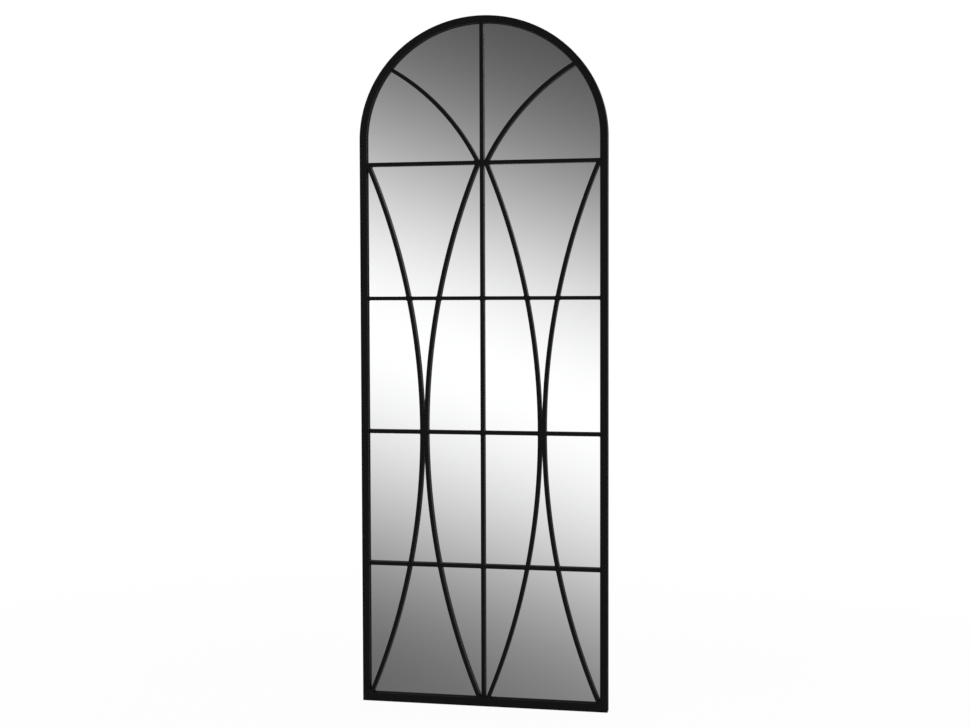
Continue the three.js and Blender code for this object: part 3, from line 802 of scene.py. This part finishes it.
def recess_cutter(turn, depth):
    """One slot of the cross recess, narrower at its floor."""
    grid = bmesh.new()
    bmesh.ops.create_cube(grid, size=1)
    for corner in grid.verts:
        deep = corner.co.y < 0
        length, width = RECESS_FLOOR if deep else RECESS_TOP
        corner.co = Vector((corner.co.x * length, -depth if deep else RECESS_RISE, corner.co.z * width))
    grid.transform(Matrix.Rotation(math.radians(turn), 4, "Y"))
    mesh = bpy.data.meshes.new("recess")
    grid.to_mesh(mesh)
    grid.free()
    return bpy.data.objects.new("recess", mesh)


def screw_mesh():
    """A pan-head screw along Y with its head's top at y = 0."""
    low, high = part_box("hanger_screw_left_1")
    head, length = (high.z - low.z) / 2, high.y - low.y
    profile = [
        (0, -length),
        (SCREW_TIP_SHARE * SCREW_SHANK, -length + SCREW_TIP),
        (SCREW_SHANK, -length + SCREW_POINT),
        (SCREW_SHANK, -SCREW_HEAD),
        (head - SCREW_RIM, -SCREW_HEAD),
        (head, -SCREW_HEAD + SCREW_RIM),
    ]
    profile += [(share * head, -drop * SCREW_HEAD) for share, drop in SCREW_DOME]
    profile.append((0, 0))
    blank = bpy.data.objects.new("screw_blank", turned_mesh("pan_head_screw", profile))
    cutters = [recess_cutter(turn, depth) for turn, depth in RECESS_DEPTHS]
    for made in (blank, *cutters):
        bpy.context.scene.collection.objects.link(made)
    for cutter in cutters:
        cut = blank.modifiers.new("recess", "BOOLEAN")
        cut.operation = "DIFFERENCE"
        cut.solver = "EXACT"
        cut.object = cutter
    finished = bpy.data.meshes.new_from_object(blank.evaluated_get(bpy.context.evaluated_depsgraph_get()))
    for made in (blank, *cutters):
        bpy.data.objects.remove(made)
    grid = bmesh.new()
    grid.from_mesh(finished)
    weld_points(grid)
    grid.to_mesh(finished)
    grid.free()
    return finished


def screws():
    """Every screw, each turned to where its driver stopped."""
    shared = screw_mesh()
    names = sorted(node for node in BODY_OF if "screw" in node)
    for index, node in enumerate(names):
        low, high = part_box(node)
        mesh = shared.copy()
        mesh.name = f"{node}_pan_head"
        turn = Matrix.Rotation(SCREW_TURN * index, 4, "Y")
        mesh.transform(Matrix.Translation(((low.x + high.x) / 2, high.y, (low.z + high.z) / 2)) @ turn)
        piece(mesh.name, mesh, [node], CRISP_TURNED)


def hanger_ring(node):
    """The D-ring of round wire."""
    low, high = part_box(node)
    wire = (high.y - low.y) / 2
    centre = Vector(((low.x + high.x) / 2, (low.y + high.y) / 2, high.z - wire))
    half = (high.x - low.x) / 2 - wire
    straight = high.z - low.z - 2 * wire - half
    line = []
    for step in range(RING_STEPS // 2 + 1):
        angle = math.pi * step / (RING_STEPS // 2)
        line.append(Vector((half * math.cos(angle), 0, -straight - half * math.sin(angle))))
    for sign in (-1, 1):
        corner = Vector((sign * (half - RING_BEND), 0, -RING_BEND))
        for step in range(BEND_STEPS + 1):
            share = step / BEND_STEPS if sign < 0 else 1 - step / BEND_STEPS
            angle = math.radians(90 * share)
            line.append(corner + RING_BEND * Vector((sign * math.cos(angle), 0, math.sin(angle))))
    rings = []
    for index, point in enumerate(line):
        way = (line[(index + 1) % len(line)] - line[index - 1]).normalized()
        across = way.cross(Vector((0, 1, 0)))
        ring = []
        for side in range(WIRE_SIDES):
            angle = 2 * math.pi * side / WIRE_SIDES
            spoke = across * math.cos(angle) + Vector((0, math.sin(angle), 0))
            ring.append(centre + point + wire * spoke)
        rings.append(ring)
    piece(f"{node}_wire", ring_mesh(f"{node}_wire", rings, closed=True), [node])


def bumper(node):
    """A moulded rubber bumper with a domed edge and a dimple in its end."""
    low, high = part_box(node)
    radius, height = (high.z - low.z) / 2, high.y - low.y
    profile = [(0, 0), (radius, 0), (radius, BUMPER_RIM * height)]
    for step in range(1, DOME_STEPS + 1):
        angle = math.radians(90 * step / DOME_STEPS)
        out = DOME_RADIUS[0] + DOME_RADIUS[1] * math.cos(angle)
        up = DOME_HEIGHT[0] + DOME_HEIGHT[1] * math.sin(angle)
        profile.append((radius * out, height * up))
    profile += [(out * radius, up * height) for out, up in DIMPLE]
    mesh = turned_mesh(f"{node}_rubber", profile)
    mesh.transform(Matrix.Translation(((low.x + high.x) / 2, low.y, (low.z + high.z) / 2)))
    piece(mesh.name, mesh, [node], CRISP_TURNED)


def hardware():
    """Everything that is fixed to the frame's back."""
    for node in BODY_OF:
        if node.startswith(("clip_", "hanger_strap")) and "screw" not in node:
            sheet_part(node)
        elif node.startswith("hanger_ring"):
            hanger_ring(node)
        elif node.startswith("bumper"):
            bumper(node)
    screws()


def edge_bead():
    """Black sealant between the pane's edge and the frame, a little hollow at its face."""
    front = span("mirror_pane", Y)[0]
    gap = OPENING_HALF - span("mirror_pane", X)[1]
    base_gap = span("mirror_pane", Z)[0] - BASE_FACE
    section = (
        (-BEAD_BITE, front + BEAD_DEPTH / 2),
        (BEAD_LIP * gap, front + BEAD_SINK),
        (BEAD_MIDDLE * gap, front + BEAD_HOLLOW * BEAD_SINK),
        (gap, front + BEAD_SINK),
        (gap + BEAD_BITE, front + BEAD_DEPTH / 2),
        (gap + BEAD_BITE, front + BEAD_DEPTH),
        (-BEAD_BITE, front + BEAD_DEPTH),
    )
    line = []
    for sign in (-1, 1):
        line.append((Vector((sign * OPENING_HALF, 0, BASE_FACE)), Vector((-sign, 0, base_gap / gap))))
    for step in range(ARCH_STEPS + 1):
        angle = math.pi * step / ARCH_STEPS
        outward = Vector((OPENING_RISE * math.cos(angle), 0, OPENING_HALF * math.sin(angle))).normalized()
        spot = Vector((OPENING_HALF * math.cos(angle), 0, SPRINGING + OPENING_RISE * math.sin(angle)))
        line.append((spot, -outward))
    rings = [[spot + across * inward + Vector((0, y, 0)) for across, y in section] for spot, inward in line]
    mesh = ring_mesh("edge_bead", rings, closed=True)
    made = smooth_object("edge_bead", mesh)
    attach(made, BODY_OF["mirror_pane"])
    mesh.materials.append(FINISHES["black_rubber"])


def finish_cad_nodes():
    """The nodes that keep their own shape get their finish."""
    for node in frame["nodes"].values():
        if not node.hide_render:
            node.data.materials.clear()
            node.data.materials.append(FINISHES[SLOT_OF[node.name]])


# ---------------------------------------------------------------- studio

# The room that shiny surfaces see, by the direction (x, y, z) of a ray that leaves them. A pair of
# directions is where a level starts and stops to change; levels of 1 are white.
BAND_TILT = 0.368
BAND_HEIGHT = -0.1242
BAND_WIDTH = 0.0925
BAND_SPREAD = 0.11
SPREAD_START = (0.0, 0.2)
BAND_FLOOR = 0.058
BAND_LEVEL = 1.04
BAND_EDGE = -0.3
BAND_BEND = 0.53
BEND_START = (-0.11, 0.25)
BEND_END = (0.3, 0.6)
CEILING = 0.6
CEILING_RISE = (0.25, 0.65)
GROUND = 0.5
GROUND_FALL = (-0.6, -0.19)
FLAG_PLACE = 0.2
FLAG_HALF = (0.10, 0.22)
FLAG_LEVELS = (0.02, 0.34)
FLAG_EDGE = (-0.05, 0.05)
REAR_LEVELS = (0.45, 0.85)
REAR_RISE = (-0.3, 0.4)
ROOM_SIDES = (-0.25, 0.25)
FILL_LEVEL = 0.55

FLOOR_TINT = (0.86, 0.86, 0.86, 1)
FLOOR_GLOW = 0.95
FLOOR_RADIUS = 9.0
FLOOR_SIDES = 96
FLOOR_DROP = 0.02 * MM
FLOOR_FADE = (0.9, 2.6)

# Lamps: place, side of the square and power in watts.
LAMPS = {
    "key": ((-2.4, -2.6, 2.6), 1.6, 40),
    "side": ((3.0, -0.6, 1.9), 1.4, 14),
    "rear": ((1.2, 3.2, 2.7), 1.8, 45),
}


def room_in_front(nodes, x, z):
    """What the glass faces: a soft bright band that climbs to the right, a ceiling and a floor."""
    tilted = nodes.math("MULTIPLY", nodes.math("MAXIMUM", x, BAND_EDGE), -BAND_TILT)
    rise = nodes.eased(x, 0, BAND_BEND, *BEND_START)
    climb = nodes.math("SUBTRACT", rise, nodes.eased(x, 0, BAND_BEND, *BEND_END))
    centre = nodes.math("ADD", nodes.math("ADD", tilted, climb), BAND_HEIGHT)
    width = nodes.eased(x, BAND_WIDTH, BAND_WIDTH + BAND_SPREAD, *SPREAD_START)
    away = nodes.math("DIVIDE", nodes.math("SUBTRACT", z, centre), width)
    power = nodes.math("MULTIPLY", nodes.math("MULTIPLY", away, away), -0.5)
    bell = nodes.math("MULTIPLY", nodes.math("EXPONENT", power), BAND_LEVEL - BAND_FLOOR)
    band = nodes.math("ADD", bell, BAND_FLOOR)
    ceiling = nodes.eased(z, 0, CEILING, *CEILING_RISE)
    ends = nodes.math("ADD", ceiling, nodes.eased(z, GROUND, 0, *GROUND_FALL))
    return nodes.math("ADD", band, ends)


def room_behind(nodes, x, z):
    """What the back faces: a pale room with a dark flag that keeps the frame's right side dark."""
    beside = nodes.math("ABSOLUTE", nodes.math("SUBTRACT", x, FLAG_PLACE))
    flag = nodes.between(z, *FLAG_LEVELS, *FLAG_EDGE)
    return nodes.mixed(nodes.eased(beside, 0, 1, *FLAG_HALF), flag, nodes.eased(z, *REAR_LEVELS, *REAR_RISE))


def studio_world():
    """White surroundings for the camera, a plain fill light, and a soft room for what is shiny."""
    world = bpy.data.worlds.new("studio")
    bpy.context.scene.world = world
    world.use_nodes = True
    nodes = Nodes(world.node_tree)
    direction = nodes.add("ShaderNodeTexCoord").outputs["Generated"]
    x, y, z = nodes.add("ShaderNodeSeparateXYZ", Vector=direction).outputs
    side = nodes.between(y, 0, 1, *ROOM_SIDES)
    room = nodes.mixed(side, room_in_front(nodes, x, z), room_behind(nodes, x, z))
    ray = nodes.add("ShaderNodeLightPath").outputs
    shiny = nodes.math("MAXIMUM", ray["Is Glossy Ray"], ray["Is Transmission Ray"])
    strength = nodes.math("MAXIMUM", nodes.mixed(shiny, FILL_LEVEL, room), ray["Is Camera Ray"])
    background = nodes.add("ShaderNodeBackground", Color=(1, 1, 1, 1), Strength=strength)
    output = nodes.add("ShaderNodeOutputWorld")
    nodes.put(output, "Surface", background.outputs[0])


def studio_floor():
    """A pale floor that keeps a faint shadow and fades into the white behind it."""
    grid = bmesh.new()
    bmesh.ops.create_circle(grid, cap_ends=True, segments=FLOOR_SIDES, radius=FLOOR_RADIUS)
    mesh = bpy.data.meshes.new("floor")
    grid.to_mesh(mesh)
    grid.free()
    floor = bpy.data.objects.new("floor", mesh)
    floor.location.z = CAD_BOX[0].z - FLOOR_DROP
    bpy.context.scene.collection.objects.link(floor)
    floor.visible_glossy = False
    material = bpy.data.materials.new("studio_floor")
    material.use_nodes = True
    nodes = Nodes(material.node_tree)
    place = nodes.add("ShaderNodeNewGeometry").outputs["Position"]
    distance = nodes.add("ShaderNodeVectorMath", {"operation": "LENGTH"}, Vector=place).outputs["Value"]
    fade = nodes.between(distance, FLOOR_GLOW, 1.0, *FLOOR_FADE)
    seen = nodes.math("MULTIPLY", fade, nodes.add("ShaderNodeLightPath").outputs["Is Camera Ray"])
    matt = nodes.add("ShaderNodeBsdfDiffuse", Color=FLOOR_TINT)
    glow = nodes.add("ShaderNodeEmission", Color=(1, 1, 1, 1), Strength=1.0)
    mixed = nodes.add("ShaderNodeMixShader", Fac=seen)
    nodes.put(mixed, "1", matt.outputs[0])
    nodes.put(mixed, "2", glow.outputs[0])
    nodes.put(nodes.add("ShaderNodeOutputMaterial"), "Surface", mixed.outputs[0])
    mesh.materials.append(material)


def studio_lamps():
    """Soft light from the left in front, from the right, and from behind."""
    centre = Vector((0, 0, HEIGHT / 2))
    for name, (place, size, power) in LAMPS.items():
        data = bpy.data.lights.new(name, "AREA")
        data.size = size
        data.energy = power
        lamp = bpy.data.objects.new(name, data)
        lamp.location = place
        lamp.visible_glossy = False
        lamp.rotation_mode = "QUATERNION"
        lamp.rotation_quaternion = (centre - Vector(place)).to_track_quat("-Z", "Y")
        bpy.context.scene.collection.objects.link(lamp)


# ---------------------------------------------------------------- the scene

add_camera()
frame_arch()
frame_stile("left", -1)
frame_stile("right", 1)
frame_base()
lattice()
edge_bead()
hardware()
finish_cad_nodes()
studio_world()
studio_floor()
studio_lamps()
bpy.context.scene.view_settings.view_transform = "Standard"
